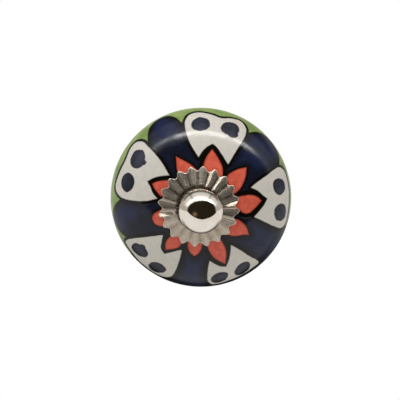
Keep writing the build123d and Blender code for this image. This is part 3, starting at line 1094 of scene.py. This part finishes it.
# The long lamp across the tent's top, and its bright line as gloss shows it
GLARE = (25.0, 25.0, 25.0, 1.0)
GLARE_FORWARD = 0.42
GLARE_HALF = 0.11
GLARE_LEFT = (-0.82, -0.32)
GLARE_RIGHT = (0.87, 0.64)
GLARE_RISE = (0.1, 0.3)
GLARE_GAP = 0.44
GLARE_GAP_SPAN = (0, 0.09, 0.3, 1.0)
GLARE_SPOT = -0.33
GLARE_SPOT_SPAN = (0.14, 0, 0.68, 1.0)
LAMP_HEIGHT = 0.45
LAMP_LENGTH = 1.4
LAMP_WIDTH = 0.045
LAMP_MIDDLE = -0.12
LAMP_POWER = 1.65

# The white floor
FLOOR_Z = -0.08
FLOOR_FRONT_Y = -0.155
FLOOR_LEFT_SLANT = 0.39
FLOOR_RIGHT_SLANT = 0.04
FLOOR_REACH = 4.0
FLOOR_COLOUR = (0.86, 0.86, 0.85, 1.0)
FLOOR_FILL = (0.72, 0.71, 0.69, 1.0)
# Floor as gloss sees it: bright, with a painted shadow under and behind the knob
FLOOR_SHINE_FRONT = (0.98, 0.965, 0.945, 1.0)
FLOOR_SHINE_SHADOW = (0.06, 0.06, 0.06, 1.0)
FLOOR_BESIDE_SPAN = (0.16, 0.04)
FLOOR_BEHIND_SPAN = (-0.015, 0.025)
SHADOW_REACH = 0.14


def tent_inside(tree, x, y, z):
    """Light of the tent's inside: the roof, lit in front, the walls, the rear and the seams."""
    over = calc(tree, "ADD", y, times(tree, z, TENT_LIT_SLANT))
    roof = blend(tree, stepped(tree, over, *TENT_LIT_SPAN), TENT_ROOF, TENT_ROOF_LIT)
    inside = blend(tree, stepped(tree, z, *TENT_ROOF_SPAN), TENT_WALL, roof)
    rear = times(tree, stepped(tree, y, *TENT_REAR_SPAN), stepped(tree, z, *TENT_REAR_RISE))
    inside = blend(tree, rear, inside, TENT_REAR)
    off_seam = apart(tree, calc(tree, "ABSOLUTE", x), times(tree, z, TENT_SEAM))
    seam = stepped(tree, off_seam, TENT_SEAM_HALF, 0)
    seam = times(tree, seam, stepped(tree, z, *TENT_ROOF_SPAN, 0.0, TENT_SEAM_SHADE))
    return blend(tree, seam, inside, TENT_FRONT)


def tent_opening(tree, x, y, z):
    """Where the tent is open: in front of the roof's brim and of the two side walls."""
    brim = calc(tree, "SUBTRACT", times(tree, z, TENT_ROOF_FORWARD), times(tree, x, TENT_ROOF_SLANT))
    side = calc(tree, "MAXIMUM", times(tree, x, -TENT_LEFT), times(tree, x, TENT_RIGHT))
    edge = calc(tree, "ADD", y, calc(tree, "SMOOTH_MAX", brim, side, TENT_CORNER))
    return stepped(tree, edge, *TENT_OPENING_SPAN)


def glare_line(tree, x, y, z):
    """The lamp's line across the roof, with faint ends, two gaps and one brightest spot."""
    off_line = calc(tree, "ABSOLUTE", calc(tree, "ADD", y, times(tree, z, GLARE_FORWARD)))
    off_gap = apart(tree, calc(tree, "ABSOLUTE", x), GLARE_GAP)
    off_spot = apart(tree, x, GLARE_SPOT)
    line = stepped(tree, off_line, GLARE_HALF, 0)
    for value, span in ((z, GLARE_RISE), (x, GLARE_LEFT), (x, GLARE_RIGHT),
                        (off_gap, GLARE_GAP_SPAN), (off_spot, GLARE_SPOT_SPAN)):
        line = times(tree, line, stepped(tree, value, *span))
    return line


def tent_gloss(tree, toward):
    """What gloss shows of the tent: its inside, the dark opening and the lamp's bright line."""
    x, y, z = axes(tree, toward)
    off_patch = node(tree, "ShaderNodeVectorMath", {0: toward, 1: PATCH_TOWARD}, operation="DISTANCE")
    front = blend(tree, stepped(tree, off_patch.outputs["Value"], PATCH_RADIUS, 0), TENT_FRONT, PATCH)
    light = blend(tree, tent_opening(tree, x, y, z), tent_inside(tree, x, y, z), front)
    return blend(tree, glare_line(tree, x, y, z), light, GLARE)


def make_world():
    """White for the camera, the tent for gloss, even light for everything else."""
    world = bpy.data.worlds.new("tent")
    bpy.context.scene.world = world
    world.use_nodes = True
    tree = world.node_tree
    path = node(tree, "ShaderNodeLightPath", {}).outputs
    toward = node(tree, "ShaderNodeTexCoord", {}).outputs["Generated"]
    across = stepped(tree, axes(tree, toward)["X"], *TENT_FILL_SPAN)
    fill = blend(tree, across, TENT_FILL_LEFT, TENT_FILL_RIGHT)
    light = blend(tree, path["Is Glossy Ray"], fill, tent_gloss(tree, toward))
    light = blend(tree, path["Is Camera Ray"], light, WHITE)
    feed(tree, tree.nodes["Background"].inputs["Color"], light)


def make_lamp():
    """The long lamp across the tent's top front."""
    data = bpy.data.lights.new("tent_lamp", "AREA")
    data.shape = "RECTANGLE"
    data.size = LAMP_LENGTH
    data.size_y = LAMP_WIDTH
    data.energy = LAMP_POWER
    lamp = bpy.data.objects.new("tent_lamp", data)
    lamp.visible_glossy = False
    bpy.context.scene.collection.objects.link(lamp)
    target = Vector((LAMP_MIDDLE, EQUATOR_Y, 0))
    lamp.location = target + Vector((0, -GLARE_FORWARD * LAMP_HEIGHT, LAMP_HEIGHT))
    lamp.rotation_euler = (target - lamp.location).to_track_quat("-Z", "Y").to_euler()


def floor_white():
    """White that keeps the knob's shadow near the knob, with its own light for bounces and gloss."""
    material, tree, shader = new_material("floor_white")
    feed_all(tree, shader, {"Base Color": FLOOR_COLOUR, "Roughness": 1.0, "Specular IOR Level": 0.0})
    path = node(tree, "ShaderNodeLightPath", {}).outputs
    here = place(tree, (1, 1, 0))
    away = node(tree, "ShaderNodeVectorMath", {0: here}, operation="LENGTH").outputs["Value"]
    far = stepped(tree, away, SHADOW_REACH / 2, SHADOW_REACH)
    seen = times(tree, far, path["Is Camera Ray"])
    surface = mixed(tree, seen, shader.outputs[0], glowing(tree, WHITE))
    surface = mixed(tree, path["Is Diffuse Ray"], surface, glowing(tree, FLOOR_FILL))
    spot = axes(tree, here)
    # Gloss sees a painted shadow of the knob under and behind it, and bright floor elsewhere
    beside = stepped(tree, calc(tree, "ABSOLUTE", spot["X"]), *FLOOR_BESIDE_SPAN)
    painted_shadow = times(tree, stepped(tree, spot["Y"], *FLOOR_BEHIND_SPAN), beside)
    shine = blend(tree, painted_shadow, FLOOR_SHINE_FRONT, FLOOR_SHINE_SHADOW)
    surface = mixed(tree, path["Is Glossy Ray"], surface, glowing(tree, shine))
    feed(tree, tree.nodes["Material Output"].inputs["Surface"], surface)
    return material


def make_floor():
    """The white floor, whose front edge slants away on both sides."""
    left_y = FLOOR_FRONT_Y - FLOOR_LEFT_SLANT * FLOOR_REACH
    right_y = FLOOR_FRONT_Y - FLOOR_RIGHT_SLANT * FLOOR_REACH
    corners = [(-FLOOR_REACH, left_y), (0, FLOOR_FRONT_Y), (FLOOR_REACH, right_y),
               (FLOOR_REACH, FLOOR_REACH), (-FLOOR_REACH, FLOOR_REACH)]
    floor = add_mesh("floor", [(x, y, FLOOR_Z) for x, y in corners], [(0, 1, 2, 3, 4)])
    floor.data.materials.append(floor_white())


def make_camera():
    """Camera at the photograph's angle, framed so that the knob lies where the photo shows it."""
    data = bpy.data.cameras.new("camera")
    data.sensor_width = SENSOR_WIDTH
    data.lens = SENSOR_WIDTH * CAMERA_DISTANCE * PHOTO_SCALE / PHOTO_SIZE
    camera = bpy.data.objects.new("camera", data)
    bpy.context.scene.collection.objects.link(camera)
    into = Vector(CAMERA_INTO)
    offset_x = (PHOTO_SIZE / 2 - PHOTO_CENTRE[0]) / PHOTO_SCALE
    offset_up = (PHOTO_CENTRE[1] - PHOTO_SIZE / 2) / PHOTO_SCALE
    aim = Vector((offset_x, EQUATOR_Y, 0)) + Vector(CAMERA_UP) * offset_up
    camera.location = aim - into * CAMERA_DISTANCE
    camera.rotation_euler = into.to_track_quat("-Z", "Y").to_euler()
    bpy.context.scene.camera = camera


bright = polished_plate()
zinc = zinc_steel()
make_ceramic(painted_glaze())
make_rosette(pressed_plate())
make_ball(bright)
make_base(bright)
make_rod(zinc)
make_nut(zinc)
make_washer(zinc)
make_world()
make_lamp()
make_floor()
make_camera()
bpy.context.scene.view_settings.view_transform = "Standard"
